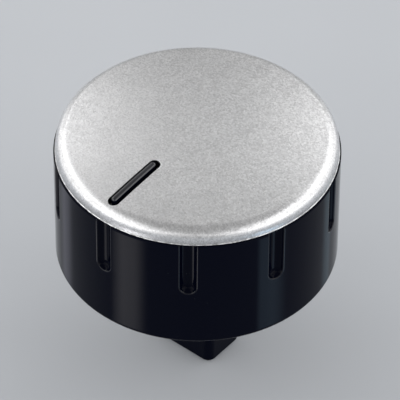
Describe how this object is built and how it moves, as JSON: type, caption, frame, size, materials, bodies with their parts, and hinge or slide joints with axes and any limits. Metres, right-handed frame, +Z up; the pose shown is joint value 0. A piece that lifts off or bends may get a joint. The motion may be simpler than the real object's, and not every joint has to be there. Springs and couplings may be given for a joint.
{
  "type": "control knob",
  "caption": "Round cooker knob: a domed silver cap with a raised black pointer in a slot, on a glossy black skirt with flutes, and a long rectangular stem with a sprung D socket for a shaft.",
  "frame": {"origin": "centre of the stem's lower end face, on the knob's axis", "axes": "+Z up the knob's axis towards the cap, -Y along the pointer"},
  "size_m": [0.044, 0.044, 0.0444],
  "materials": {
    "black_gloss_moulding": "high gloss black, moulded",
    "silver_lacquer": "satin metallic silver lacquer with a fine sparkle, on plastic",
    "spring_steel": "rolled spring steel"
  },
  "bodies": {
    "root": {"knob_body": "black_gloss_moulding", "top_cap": "silver_lacquer", "shaft_spring": "spring_steel"}
  },
  "joints": []
}
